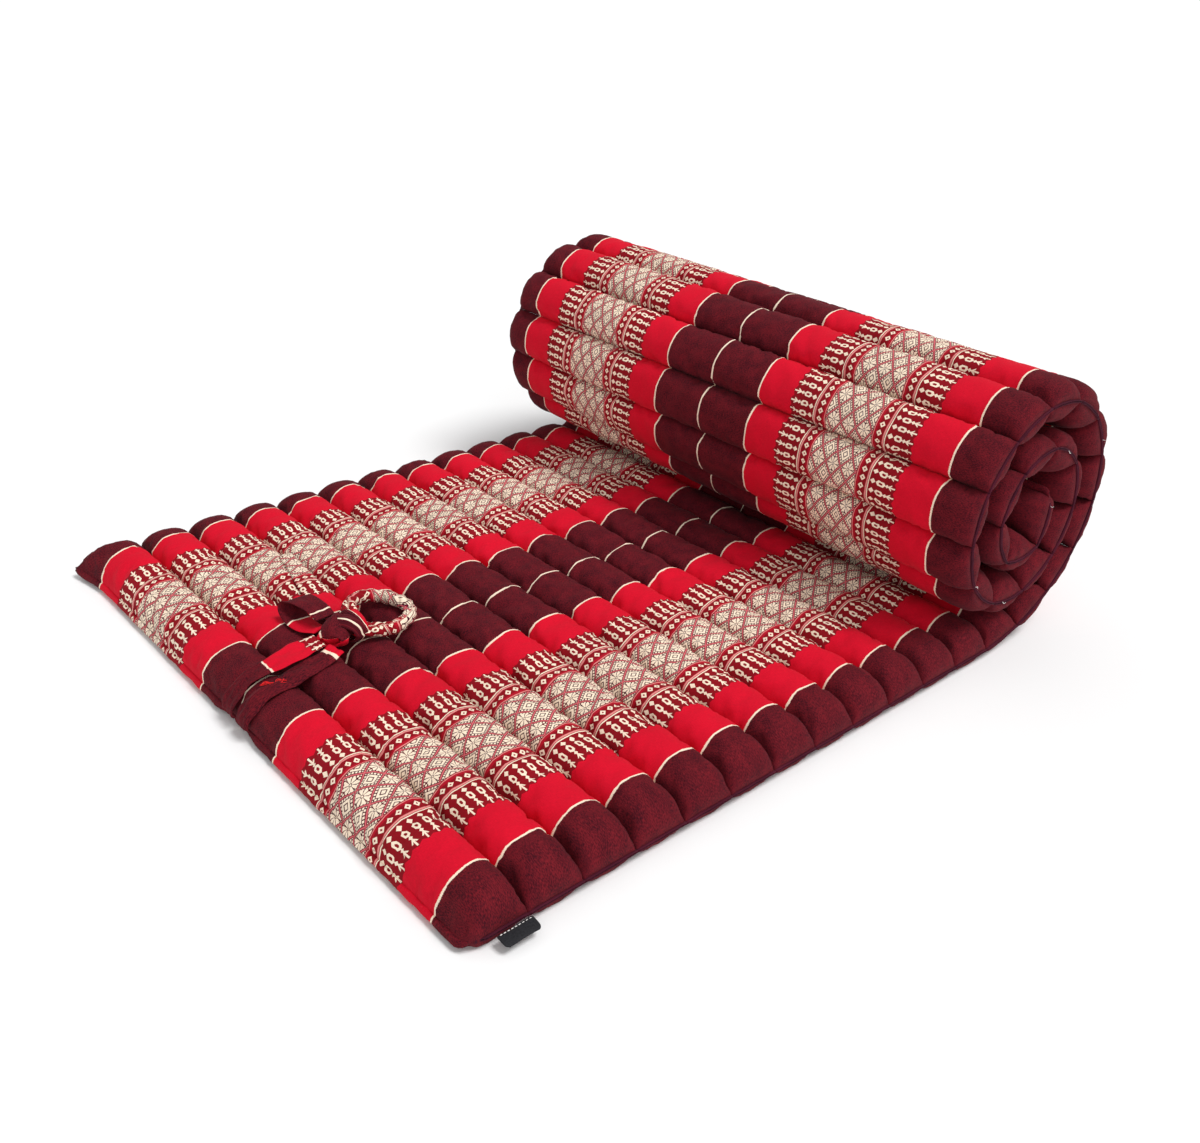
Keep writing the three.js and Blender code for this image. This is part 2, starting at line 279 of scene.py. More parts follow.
# Places across the cloth in millimetres: from its middle, or from a patterned band's own middle.
INNER_RED = 71.5  # where the middle maroon ends
OUTER_RED = 316.2  # where the outer maroon begins
BAND_CENTRE = 193.85
BAND_HALF = 79.0
LATTICE_HALF = 29.6
CREAM_LINE = 1.0  # half the width of a plain cream line
BEAT = 5.0  # half the distance from one spear to the next
SPEAR_RING, SPEAR_HEAD, SPEAR_BEAD = 60.0, 50.7, 67.4
SPEAR_STEM = (68.5, 77.8)
BARBS = (69.6, 69.9, 73.6)
GEM_ROW = 37.6  # small diamonds, with a line at each side
GEM_BEAT = 4.3
CELL_ACROSS, CELL_ALONG = 9.6, 13.8  # half diagonals of the lattice's diamonds
SEEN_THREADS = (0.25, 2.2)  # per millimetre along a thread and across it


class Finish:
    """The node tree of one material, built from short steps."""

    def __init__(self, name, roughness=0.85, sheen=0.02):
        self.material = bpy.data.materials.new(name)
        self.material.use_nodes = True
        self.tree = self.material.node_tree
        self.shader = self.tree.nodes["Principled BSDF"]
        self.put(self.shader, "Roughness", roughness)
        self.put(self.shader, "Sheen Weight", sheen)
        self.put(self.shader, "Sheen Roughness", 0.45)
        self.put(self.shader, "Specular IOR Level", 0.1)

    def put(self, node, name, value):
        if isinstance(value, bpy.types.NodeSocket):
            self.tree.links.new(value, node.inputs[name])
        else:
            node.inputs[name].default_value = value

    def node(self, kind):
        return self.tree.nodes.new("ShaderNode" + kind)

    def sum(self, operation, *values):
        node = self.node("Math")
        node.operation = operation
        for i, value in enumerate(values):
            self.put(node, i, value)
        return node.outputs[0]

    def add(self, a, b):
        return self.sum("ADD", a, b)

    def take(self, a, b):
        return self.sum("SUBTRACT", a, b)

    def times(self, a, b):
        return self.sum("MULTIPLY", a, b)

    def size(self, a):
        return self.sum("ABSOLUTE", a)

    def below(self, a, b):
        return self.sum("LESS_THAN", a, b)

    def over(self, a, b):
        return self.sum("GREATER_THAN", a, b)

    def either(self, *masks):
        found = masks[0]
        for mask in masks[1:]:
            found = self.sum("MAXIMUM", found, mask)
        return found

    def both(self, *masks):
        found = masks[0]
        for mask in masks[1:]:
            found = self.times(found, mask)
        return found

    def fold(self, a, half):
        """Distance to the nearest of the marks that lie two halves apart."""
        return self.sum("PINGPONG", a, half)

    def near(self, a, at, within):
        return self.below(self.size(self.take(a, at)), within)

    def mix(self, share, a, b):
        node = self.node("Mix")
        node.data_type = "RGBA"
        for name, value in zip((0, 6, 7), (share, a, b)):
            self.put(node, name, value)
        return node.outputs[2]

    def vector(self, x=0.0, y=0.0, z=0.0):
        node = self.node("CombineXYZ")
        for name, value in zip("XYZ", (x, y, z)):
            self.put(node, name, value)
        return node.outputs[0]

    def noise(self, vector, scale, detail=2.0):
        node = self.node("TexNoise")
        self.put(node, "Scale", scale)
        self.put(node, "Detail", detail)
        self.put(node, "Vector", vector)
        return node.outputs["Fac"]

    def bump(self, height, strength, distance):
        node = self.node("Bump")
        self.put(node, "Strength", strength)
        self.put(node, "Distance", distance)
        self.put(node, "Height", height)
        self.tree.links.new(node.outputs[0], self.shader.inputs["Normal"])

    def object_place(self):
        return self.node("TexCoord").outputs["Object"]

    def cloth_map(self):
        """Across and along the cloth, in millimetres."""
        node = self.node("UVMap")
        node.uv_map = "cloth"
        split = self.node("SeparateXYZ")
        self.tree.links.new(node.outputs[0], split.inputs[0])
        return self.times(split.outputs[0], 1000.0), self.times(split.outputs[1], 1000.0)

    def weave(self, across, along, base):
        """Threads both ways: a bump, and lighter and darker threads in the colour."""
        long, fine = SEEN_THREADS
        weft = self.noise(self.vector(self.times(across, long), self.times(along, fine)), 1.0, 1.0)
        warp = self.noise(self.vector(self.times(across, fine), self.times(along, long)), 1.0, 1.0)
        threads = self.times(self.add(weft, warp), 0.5)
        worn = self.noise(self.object_place(), 14.0, 3.0)
        wear = self.times(self.take(worn, 0.5), 0.9)
        shade = self.add(self.times(self.take(threads, 0.5), 2.4), wear)
        node = self.node("VectorMath")
        node.operation = "SCALE"
        self.put(node, "Vector", base)
        self.put(node, "Scale", self.add(1.0, self.times(shade, 0.3)))
        self.bump(threads, 0.25, 0.0006)
        return node.outputs[0]

    def paint(self, value):
        self.put(self.shader, "Base Color", value)
        return self.material


def striped_cloth():
    """Woven cotton: maroon, red and cream stripes with two patterned bands."""
    f = Finish("striped_cotton")
    across, along = f.cloth_map()
    ragged = f.noise(f.vector(f.times(across, 0.8), f.times(along, 2.0)), 1.0, 0.0)
    edge = f.times(f.take(ragged, 0.5), 1.1)
    far = f.add(f.size(across), edge)
    off = f.size(f.take(f.size(across), BAND_CENTRE))
    # plain stripes
    red = f.both(f.over(far, INNER_RED), f.below(far, OUTER_RED))
    flecks = f.noise(f.vector(f.times(across, 0.5), f.times(along, 1.4)), 1.0, 3.0)
    blotches = f.noise(f.vector(f.times(across, 0.06), f.times(along, 0.09)), 1.0, 2.0)
    flecks = f.add(f.times(f.take(flecks, 0.34), 2.9), f.times(f.take(blotches, 0.5), 0.9))
    clamped = f.sum("MINIMUM", f.sum("MAXIMUM", flecks, 0.0), 1.0)
    base = f.mix(red, f.mix(clamped, MAROON_DEEP, MAROON), RED)
    lines = f.either(
        f.near(far, INNER_RED, CREAM_LINE),
        f.near(far, OUTER_RED, CREAM_LINE),
        f.below(f.size(across), CREAM_LINE),
    )
    # the band's ground, with its stepped edge
    beat = f.fold(along, BEAT)
    ground = f.below(f.add(off, f.times(beat, 0.55)), BAND_HALF)
    base = f.mix(ground, base, DARK_RED)
    # the spear row
    slant = f.add(f.size(f.take(off, SPEAR_RING)), f.times(beat, 0.9))
    ring = f.sum("MAXIMUM", f.times(beat, 1 / 2.7), f.times(slant, 1 / 5.6))
    hexagon = f.both(f.below(ring, 1.0), f.over(ring, 0.42))
    head = f.times(f.size(f.take(off, SPEAR_HEAD)), 1 / 3.2)
    diamond = f.below(f.add(head, f.times(beat, 1 / 2.8)), 1.0)
    tail = f.times(f.size(f.take(off, SPEAR_BEAD)), 1 / 2.3)
    bead = f.below(f.add(tail, f.times(beat, 1 / 1.9)), 1.0)
    stem = f.both(f.below(beat, 0.75), f.over(off, SPEAR_STEM[0]), f.below(off, SPEAR_STEM[1]))
    slope = f.size(f.take(f.times(f.take(off, BARBS[0]), 0.62), beat))
    barb = f.both(f.below(slope, 0.75), f.over(off, BARBS[1]), f.below(off, BARBS[2]))
    spears = f.either(hexagon, diamond, bead, stem, barb)
    # the row of small diamonds between its lines
    small = f.fold(f.add(along, BEAT), GEM_BEAT)
    gem = f.add(f.times(f.size(f.take(off, GEM_ROW)), 1 / 3.3), f.times(small, 1 / 3.3))
    gems = f.both(f.below(gem, 1.0), f.over(gem, 0.34))
    rails = f.either(f.near(off, 43.9, 0.9), f.near(off, 31.0, 0.5))
    pale = f.near(off, 45.9, 0.55)
    stripe = f.near(off, 32.6, 1.5)
    # the lattice: slanting lines both ways, with a flower in every other diamond
    p = f.times(f.take(f.size(across), BAND_CENTRE), 1 / CELL_ACROSS)
    r = f.times(along, 1 / CELL_ALONG)
    one, two = f.add(p, r), f.take(p, r)
    cell_one, cell_two = f.fold(one, 1.0), f.fold(two, 1.0)
    rim = f.sum("MAXIMUM", cell_one, cell_two)
    least = f.sum("MINIMUM", cell_one, cell_two)
    turn_one = f.sum("ROUND", f.times(one, 0.5))
    turn_two = f.sum("ROUND", f.times(two, 0.5))
    flower = f.below(f.fold(f.take(turn_one, turn_two), 1.0), 0.5)
    up = f.take(one, f.times(turn_one, 2.0))
    down = f.take(two, f.times(turn_two, 2.0))
    wide, tall = f.times(f.add(up, down), 4.8), f.times(f.take(up, down), 5.6)
    petal = f.size(f.sum("SINE", f.times(f.sum("ARCTAN2", tall, wide), 4.0)))
    middle = f.sum("SQRT", f.add(f.times(wide, wide), f.times(tall, tall)))
    reach = f.below(middle, f.add(4.4, f.times(petal, 1.5)))
    petals = f.both(reach, f.over(petal, 0.34), f.over(middle, 1.3))
    petals = f.either(petals, f.below(middle, 0.8))
    nested = f.either(f.near(rim, 0.43, 0.125), f.below(rim, 0.2))
    core = f.add(f.both(flower, petals), f.both(f.take(1.0, flower), nested))
    dots = f.both(f.near(rim, 0.74, 0.105), f.over(f.fold(f.times(least, 6.0), 1.0), 0.36))
    net = f.over(rim, 0.93)
    ribbon = f.both(f.over(rim, 0.875), f.below(rim, 0.93))
    tone = f.noise(f.vector(f.times(across, 0.05), f.times(along, 0.05)), 1.0, 1.0)
    cloth = f.mix(f.both(f.over(tone, 0.5), flower), colour(74, 12, 34), colour(92, 14, 30))
    lattice = f.mix(f.either(core, dots), cloth, CREAM)
    lattice = f.mix(net, lattice, colour(214, 104, 110))
    lattice = f.mix(ribbon, lattice, colour(120, 14, 38))
    base = f.mix(f.both(ground, f.below(off, LATTICE_HALF)), base, lattice)
    base = f.mix(f.either(spears, gems, pale), base, CREAM)
    base = f.mix(stripe, base, colour(176, 20, 40))
    base = f.mix(rails, base, PINK)
    base = f.mix(lines, base, CREAM)
    return f.paint(f.weave(across, along, base))


def seam_cloth():
    """The turned-in edge: maroon with a cool cast, and a sewn line along its middle."""
    f = Finish("seam_cloth", roughness=0.9)
    across, along = f.cloth_map()
    stitched = f.both(f.below(f.size(across), 0.45), f.below(f.fold(along, 1.7), 1.2))
    base = f.mix(f.noise(f.object_place(), 40.0), colour(48, 14, 28), colour(92, 28, 46))
    base = f.mix(stitched, base, colour(26, 8, 16))
    return f.paint(f.weave(across, along, base))


def thread_finish(name, shade):
    """Twisted sewing thread."""
    f = Finish(name, roughness=0.7, sheen=0.1)
    place = f.object_place()
    twist = f.noise(place, 900.0, 1.0)
    f.bump(twist, 0.4, 0.0003)
    return f.paint(f.mix(twist, shade, tuple(min(1.0, v * 1.6) for v in shade)))


def label_cloth():
    """Black satin tape."""
    f = Finish("label_cloth", roughness=0.6, sheen=0.0)
    place = f.object_place()
    satin = f.noise(place, 700.0, 2.0)
    f.bump(satin, 0.25, 0.0003)
    return f.paint(f.mix(satin, colour(22, 22, 24), colour(52, 52, 56)))


STRIPED = striped_cloth()
SEAM = seam_cloth()
WHITE_THREAD = thread_finish("white_thread", colour(226, 218, 210))
RED_THREAD = thread_finish("red_thread", colour(214, 34, 36))
LABEL = label_cloth()

# ---- The twisted band that makes the bow's ring ----

RING_LIFT = 8.5  # of the ring's middle over the crowns


def above(rise):
    """A height over the flat part's crowns."""
    return CROWN_HEIGHT + rise


def climb(share):
    """A height up the free end, from its hem to its crown."""
    return HEM_HEIGHT + share * (CROWN_HEIGHT - HEM_HEIGHT)


def tie_points(rows):
    """Points whose first number is measured from the free end's sewn line."""
    return [(x - ORIGIN_X, y, z) for x, y, z in rows]


RING_ROUTE = [  # along from the free end's sewn line, across the mattress, and up from RING_LIFT
    (133, 24, 6.5), (140, 35, 7.5), (150, 49, 5), (168, 58, 2), (185, 50, 0.5), (194, 33, 0),
    (195, 14, 0), (185, -1, 0), (168, -9, 0.5), (152, -8, 1.5), (139, -2, 3.5), (133, 3, 4),
]
TWIST = 34  # length of rope to one turn of the band
SQUEEZED = 14  # length at each end that narrows into the knot
FLATTENED = 26  # and length that the knot presses flat


def twisted_ring():
    """A band wrung into a rope: a round body with the band's edge winding round it."""
    steps, sides = 110, 28
    route = tie_points([(x, y, above(RING_LIFT + rise)) for x, y, rise in RING_ROUTE])
    path, length = smooth_route(route, steps)
    points, uv = [], []
    normal = Vector((0, 0, 1))
    for i, at in enumerate(path):
        ahead = way_along(path, i)
        normal = (normal - ahead * normal.dot(ahead)).normalized()
        beside = ahead.cross(normal)
        run = length * i / steps
        from_knot = min(run, length - run)
        end = sin(pi * clamp(from_knot / SQUEEZED + 0.5, 0.5, 1.0) * 0.5)
        flat = clamp(1 - from_knot / FLATTENED)
        for j in range(sides):
            turn = 2 * pi * j / sides
            wound = turn - 2 * pi * run / TWIST
            lobe = abs(sin(wound * 1.5))
            crumple = noise.noise(Vector((run / 9, cos(turn), sin(turn)))) * 0.7
            radius = (5.2 + 1.9 * lobe**0.7 + crumple) * (0.72 + 0.28 * end)
            spread = normal * cos(turn) * (1 - 0.4 * flat)
            spread += beside * sin(turn) * (1 + 0.45 * flat)
            points.append((at + spread * radius) * MM)
            stripe = 262 - run * 0.72 + 9 * sin(wound / 2)
            uv.append((stripe, run * 0.4 + turn * 7.5))
    faces = strip(steps + 1, sides, close=False)
    for ring in (0, steps):
        points.append(path[ring] * MM)
        uv.append(uv[ring * sides])
        hub, rim = len(points) - 1, ring * sides
        faces += [(hub, rim + j, rim + (j + 1) % sides) for j in range(sides)]
    rope = new_piece("tie_ring_rope", points, faces, STRIPED, uv)
    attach(rope, "ties")
    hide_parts("tie_ring")


twisted_ring()

# ---- Channels ----

SECTION_STEPS = 16  # over a channel's cover, from sewn line to sewn line
END_STEPS = 13
END_ROUND = 27.0  # over which a channel's end rounds down to its seam
END_RISE = 22.0  # of the cloth over that length
END_SWELL = 4.0  # how far the stuffing pushes the cover out past the seam
LINE_GAP = 0.02  # kept clear between two channels' covers where they meet at a sewn line
COLUMN = 4.0  # from one row of points across the mattress to the next
FLAT_UNDERSIDE = 1.15  # the flat part's underside is fuller, and is pressed flat on the floor
EXTRA_DROP = 3.0  # how much more the roll's outer channels stand out
FIRST_FULL, LAST_FULL = 14, 22  # which channels those are
UNEVEN = 1.1  # swing of the stuffing's unevenness


def stations():
    """(place across, distance in from the side seam, place on the cloth) for each row of points."""
    half = []
    arc, last = 0.0, (0.0, 0.0)
    for i in range(END_STEPS + 1):
        turn = pi / 2 * (i / END_STEPS) ** 1.15
        here = (END_ROUND * (1 - cos(turn)), END_RISE * sin(turn))
        arc += hypot(here[0] - last[0], here[1] - last[1])
        last = here
        half.append((here[0], arc))
    whole = half[-1][1]
    rows = []
    for distance, at in half:
        rows.append((-HALF_COVER + distance, distance, -(HALF_COVER - END_ROUND) - (whole - at)))
    inner = HALF_COVER - END_ROUND
    steps = round(2 * inner / COLUMN)
    for i in range(1, steps):
        y = -inner + 2 * inner * i / steps
        rows.append((y, HALF_COVER - abs(y), y))
    return rows + [(-y, d, -u) for y, d, u in reversed(rows[: END_STEPS + 1])]


STATIONS = stations()


def crown(k, side, y):
    """How far the cover stands out from the sewn lines, with the stuffing's unevenness."""
    if side > 0:
        rise = TOP_RISE
    elif k < FLAT:
        rise = BOTTOM_DROP * FLAT_UNDERSIDE
    else:
        rise = BOTTOM_DROP + EXTRA_DROP * clamp((k - FIRST_FULL) / 2) * clamp((LAST_FULL - k) / 3)
    return rise + UNEVEN * noise.noise(Vector((y / 70, k * 2.7, side * 4.0)))


def pucker(y, k, side):
    """Short folds where the sewing gathers the cloth, 0 to 1."""
    fold = noise.noise(Vector((y / 6.5, k * 5.3, side * 9.1)))
    fold += 0.5 * noise.noise(Vector((y / 2.9, k * 3.1, 7.7)))
    return clamp(0.45 + fold)


def section_arc(rise):
    """Lengths along the cloth from a sewn line over a channel, at each step."""
    out, last = [0.0], None
    for i in range(SECTION_STEPS + 1):
        turn = pi * i / SECTION_STEPS
        here = (PITCH / 2 - PITCH / 2 * power(cos(turn)), rise * power(sin(turn)))
        if last:
            out.append(out[-1] + hypot(here[0] - last[0], here[1] - last[1]))
        last = here
    return out


UP_ARC = section_arc(TOP_RISE)
DOWN_ARC = section_arc(BOTTOM_DROP)

EAR_SIZE = (42, 60)  # of the free end's far corner, along and across
EAR_PULL = (11, 9)  # how far its tip is drawn out
CORNER_ROUND = 13.0  # radius of the free end's near corner
ROLL_END_ROUND = 8.0  # and of the corners inside the roll


def shaped_edge(k, along, y):
    """The place drawn out or rounded off where it lies near one of the mattress's corners."""
    distance = HALF_COVER - abs(y)
    if k == 0 and y > 0:
        ear = (clamp(1 - along / EAR_SIZE[0]) * clamp(1 - distance / EAR_SIZE[1])) ** 2
        return along - EAR_PULL[0] * ear, y + EAR_PULL[1] * ear
    corner = CORNER_ROUND if k == 0 else ROLL_END_ROUND
    near = along if k == 0 else PITCH - along if k == CHANNELS - 1 else corner
    if near >= corner or distance >= corner:
        return along, y
    a, d = corner - max(near, 0.0), corner - max(distance, 0.0)
    scale = max(a, d) / max(hypot(a, d), 1e-6)
    moved = corner - a * scale
    y = copysign(HALF_COVER - corner + d * scale, y)
    return (moved if k == 0 else PITCH - moved), y


MOST_BOW = 5.0  # of a rolled channel's end


def bow_out(k, along, distance):
    """How far a rolled channel's end bows outwards, so that its seam follows the roll's curve."""
    share = clamp(along / PITCH)
    bend = (half_bend(k) + half_bend(k + 1)) / 2
    arch = min(MOST_BOW, 0.2 * PITCH * bend) * 4 * share * (1 - share)
    return arch * (1 - min(distance / END_LENGTH, 1)) ** 1.5


PRESS_STEPS = 20  # frames of the pressing
PRESSURE = 4.0
SPARE_CLOTH = -0.04  # the cover is this share larger than the shape it starts from
START_SIZE = 0.93  # of the height, as the pressing swells it
START_UNEVEN = 0.6  # swing of what the wrinkles grow from
MOST_WRINKLE = 3.0
CLEAR_OF_ENDS = 110.0  # rows that far in give the even swelling
VARIANTS = 3


def wrinkles(seed):
    """Wrinkles of one channel's cover: how far each point moves, in millimetres.

    The stuffing presses the cover out from inside while its sewn lines and ends are held."""
    ring = 2 * SECTION_STEPS
    points, held, faces = [], [], []
    for r, (y, distance, _) in enumerate(STATIONS):
        full = sqrt(1 - (1 - min(distance / END_ROUND, 1)) ** 2) ** 0.9
        for i in range(ring):
            turn = pi * i / SECTION_STEPS
            rise = (TOP_RISE if i <= SECTION_STEPS else BOTTOM_DROP) * START_SIZE * full
            uneven = START_UNEVEN * noise.noise(Vector((y / 21, i / 3, seed * 7.7))) * full
            along = PITCH / 2 * (1 - power(cos(turn)))
            points.append(Vector((along, y, rise * power(sin(turn)) + uneven)) * MM)
            if i in (0, SECTION_STEPS) or distance < 0.01:
                held.append(r * ring + i)
            if r:
                j = (i + 1) % ring
                faces.append(((r - 1) * ring + i, (r - 1) * ring + j, r * ring + j, r * ring + i))
    mesh = bpy.data.meshes.new("pressed_cover")
    mesh.from_pydata(points, [], faces)
    cover = new_object("pressed_cover", mesh)
    cover.vertex_groups.new(name="sewn").add(held, 1.0, "REPLACE")
    cloth = cover.modifiers.new("cloth", "CLOTH")
    cloth.point_cache.frame_start, cloth.point_cache.frame_end = 1, PRESS_STEPS
    how = cloth.settings
    how.quality = 5
    how.mass = 0.3
    how.vertex_group_mass = "sewn"
    how.use_pressure = True
    how.uniform_pressure_force = PRESSURE
    how.shrink_min = SPARE_CLOTH
    how.bending_stiffness = 0.1
    how.effector_weights.gravity = 0.0
    for frame_number in range(1, PRESS_STEPS + 1):
        bpy.context.scene.frame_set(frame_number)
    pressed = cover.evaluated_get(bpy.context.evaluated_depsgraph_get())
    moved = [(v.co - p) / MM for v, p in zip(pressed.data.vertices, points)]
    bpy.context.scene.frame_set(1)
    bpy.data.objects.remove(cover)
    bpy.data.meshes.remove(mesh)
    # the even swelling is taken off, as the channel's own shape already holds it
    middle = [r for r, (_, distance, _) in enumerate(STATIONS) if distance > CLEAR_OF_ENDS]
    table = []
    for i in range(ring):
        swelling = sum((moved[r * ring + i] for r in middle), Vector()) / len(middle)
        table.append([])
        for r, (_, distance, _) in enumerate(STATIONS):
            move = moved[r * ring + i] - swelling * clamp(distance / END_ROUND)
            table[i].append(move * min(1.0, MOST_WRINKLE / max(move.length, 1e-6)))
    return table


PRESSED = [wrinkles(seed) for seed in range(VARIANTS)]


def wrinkle(k, row, step, side):
    """The pressed wrinkle at one point of channel k. Neighbours never share a variant."""
    if not PRESSED or step in (0, SECTION_STEPS):
        return Vector()
    table = PRESSED[k % len(PRESSED)]
    turned, swapped = (k // 3) % 2, (k // 2) % 2
    row = len(STATIONS) - 1 - row if turned else row
    step = SECTION_STEPS - step if swapped else step
    move = table[step if side > 0 else 2 * SECTION_STEPS - step][row]
    return Vector((-move.x if swapped else move.x, -move.y if turned else move.y, side * move.z))


GATHER = (7, 9)  # small folds beside the end seam: how far in, and how far they reach
FOLD_RISE = 1.7  # of those folds
END_TUCK = 1.1  # how far the cover stands out at the end seam itself


def cover_point(k, step, side, row):
    """One point of a channel's upper or lower cover."""
    y, distance, _ = STATIONS[row]
    turn = pi * step / SECTION_STEPS
    round_off = 1 - min(distance / END_ROUND, 1)
    full = sqrt(1 - round_off**2) ** 0.9
    line = min(step, SECTION_STEPS - step)
    rise = crown(k, side, y) * full
    reach = PITCH / 2
    if line:
        # the sewing draws the cover in beside its lines, and the end seam draws it into small folds
        near_line = exp(-(((line - 2.2) / 1.7) ** 2))
        gather = exp(-(((distance - GATHER[0]) / GATHER[1]) ** 2))
        drawn_in = pucker(y, k + (step > SECTION_STEPS / 2), side)
        reach *= 1 - (0.03 + 0.05 * gather) * near_line * drawn_in
        fold = noise.noise(Vector((step * 0.85, k * 7.9, side * 3.3 + (y > 0) * 11)))
        rise += FOLD_RISE * gather * fold * sin(turn)
    along = PITCH / 2 - reach * power(cos(turn))
    lean = acos(clamp(round_off))
    swell = 0.0
    if distance < END_ROUND:
        swell = (END_SWELL if side > 0 or k >= FLAT else 0.5) * sin(2 * lean)
    tuck = clamp(1 - 0.16 * noise.noise(Vector((step * 1.1, k * 5.1, side * 7.0 + (y > 0) * 3))) ** 2)
    y_out = y + copysign(swell * sin(turn) ** 0.8 * tuck, y) if line else y
    if line == 0:
        height = SKIN
    elif distance == 0:
        height = SKIN + END_TUCK * sin(turn)
    else:
        height = SKIN + max(0.0, rise) * power(sin(turn))
    sag = droop(k, along / PITCH, distance)
    move = wrinkle(k, row, step, side)
    along = clamp(along + move.x, LINE_GAP, PITCH - LINE_GAP)
    y_out += 0.1 * move.y
    height = max(0.2, height + move.z * (0.7 if side > 0 else 0.4))
    sag += bow_out(k, along, distance)
    along, y_out = shaped_edge(k, along, y_out)
    return in_place(k, along, side * height, y_out, sag)


UNDERSIDE_SHIFT = 3.0  # of the lower cover's pattern against the upper's, along the cloth


def channel(k):
    """One stuffed channel: upper and lower cover, sewn together at both lines and at both ends."""
    points, uv = [], []
    ring = 2 * (SECTION_STEPS + 1)
    for row, (_, _, cloth) in enumerate(STATIONS):
        for step in range(SECTION_STEPS + 1):
            points.append(cover_point(k, step, 1, row))
            uv.append((cloth, k * UP_ARC[-1] + UP_ARC[step]))
        for step in reversed(range(SECTION_STEPS + 1)):
            points.append(cover_point(k, step, -1, row))
            uv.append((cloth, k * DOWN_ARC[-1] + DOWN_ARC[step] + UNDERSIDE_SHIFT))
    faces = strip(len(STATIONS), ring, close=False)
    for r in (0, len(STATIONS) - 1):
        for i in range(SECTION_STEPS):
            low = ring - 1 - i
            faces.append((r * ring + i, r * ring + i + 1, r * ring + low - 1, r * ring + low))
    piece = new_piece(f"channel_cover_{k + 1:02d}", points, faces, STRIPED, uv)
    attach(piece, channel_body(k))
    part = "flat" if k < FLAT else "roll"
    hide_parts(f"filling_{k + 1:02d}", f"cover_top_{part}", f"cover_bottom_{part}")


SEAM_SECTION = [
    (-2.6, 0.4), (-0.6, 1.3), (0.7, 1.7), (1.7, 1.5), (2.1, 0.8), (0.9, 0.0),
    (2.1, -0.8), (1.7, -1.5), (0.7, -1.7), (-0.6, -1.3), (-2.6, -0.4),
]  # (out from the cover, up): two turned-in edges sewn together, with the seam between them
PLAIN_EDGE = 4.0  # place on the seam's cloth map that carries no stitches


def side_seam(k):
    """The sewn edge at both ends of one channel, wavy where the cloth is gathered."""
    points, uv, faces = [], [], []
    steps, sides = 14, len(SEAM_SECTION)
    for end in (-1, 1):
        first = len(points)
        for i in range(steps + 1):
            along = clamp(PITCH * i / steps, LINE_GAP, PITCH - LINE_GAP)
            run = k * PITCH + along
            pinch = 1 - 0.25 * exp(-((min(along, PITCH - along) / 3) ** 2))
            wave = 0.7 * noise.noise(Vector((run / 13, end * 5.0, 2.0)))
            sag = droop(k, along / PITCH, 0) + bow_out(k, along, 0)
            for out, up in SEAM_SECTION:
                ripple = 0.3 * noise.noise(Vector((run / 5, end, up)))
                y = end * (HALF_COVER + out * (0.9 + 0.1 * pinch) + ripple)
                height = up * pinch + wave
                place, y = shaped_edge(k, along, y)
                points.append(in_place(k, place, height, y, sag, 0.6 + up * 0.2))
                uv.append((up if out > 0.8 else PLAIN_EDGE, run))
        faces += [tuple(first + i for i in face) for face in strip(steps + 1, sides)]
    piece = new_piece(f"side_seams_{k + 1:02d}", points, faces, SEAM, uv)
    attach(piece, channel_body(k))
    part = "flat" if k < FLAT else "roll"
    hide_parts(f"side_seam_near_{part}", f"side_seam_far_{part}")


HEM_DEPTH = 7.6
HEM_SECTION = [
    (0, 0.9), (1.6, 1.9), (3.6, 2.1), (6.4, 1.6), (HEM_DEPTH, 0.2),
    (6.4, -1.2), (3.6, -1.4), (1.6, -1.2), (0, -0.8),
]  # (down from the sewn line, out)
PRESSED_FLAT = (-1.5, 28)  # middle and half width of what the tie bands cross


def hem(name, k, edge, way):
    """The turned-in edge across one end of the mattress, beyond its sewn line."""
    points, uv = [], []
    rows = 181
    for r in range(rows):
        y = -HALF_COVER + 2 * HALF_COVER * r / (rows - 1)
        wave = 0.9 * noise.noise(Vector((y / 40, k, 3.0))) + 0.7 * noise.noise(Vector((y / 9, k, 5.0)))
        deep = 1 + 0.12 * noise.noise(Vector((y / 17, k, 6.0)))
        end = 0.45 + 0.55 * clamp((HALF_COVER - abs(y)) / 12) ** 0.5
        if k == 0:
            end *= 1 - 0.6 * exp(-(((y - PRESSED_FLAT[0]) / PRESSED_FLAT[1]) ** 4))
        for down, out in HEM_SECTION:
            down, out = down * deep * end, out * end + wave * down / HEM_DEPTH
            along = edge + down * way[0] + copysign(way[1], way[0]) * out
            sag = droop(k, clamp(edge / PITCH), HALF_COVER - min(abs(y), HALF_COVER))
            place, y_in = shaped_edge(k, clamp(edge, 0, PITCH), y)
            along += place - clamp(edge, 0, PITCH)
            up = down * way[1] + abs(way[0]) * out
            points.append(in_place(k, along, up, y_in, sag, 0.4))
            uv.append((y, -down))
    piece = new_piece(name, points, strip(rows, len(HEM_SECTION)), STRIPED, uv)
    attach(piece, channel_body(k))
    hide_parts(name.replace("edge", "hem"))


for k in range(CHANNELS):
    channel(k)
    side_seam(k)
hem("edge_free_end", 0, 0.6, (-0.5, -0.87))
hem("edge_roll_end", CHANNELS - 1, PITCH - 0.6, (0.98, -0.2))

# ---- Tie bands ----

BAND_HALF_WIDTH = 13.0
BAND_THICKNESS = (1.35, 0.15)  # half of it: what the fold adds in the middle, and at the edges
OTHER_LAYER = 30  # how far apart a band's two layers are cut from the cloth, halved


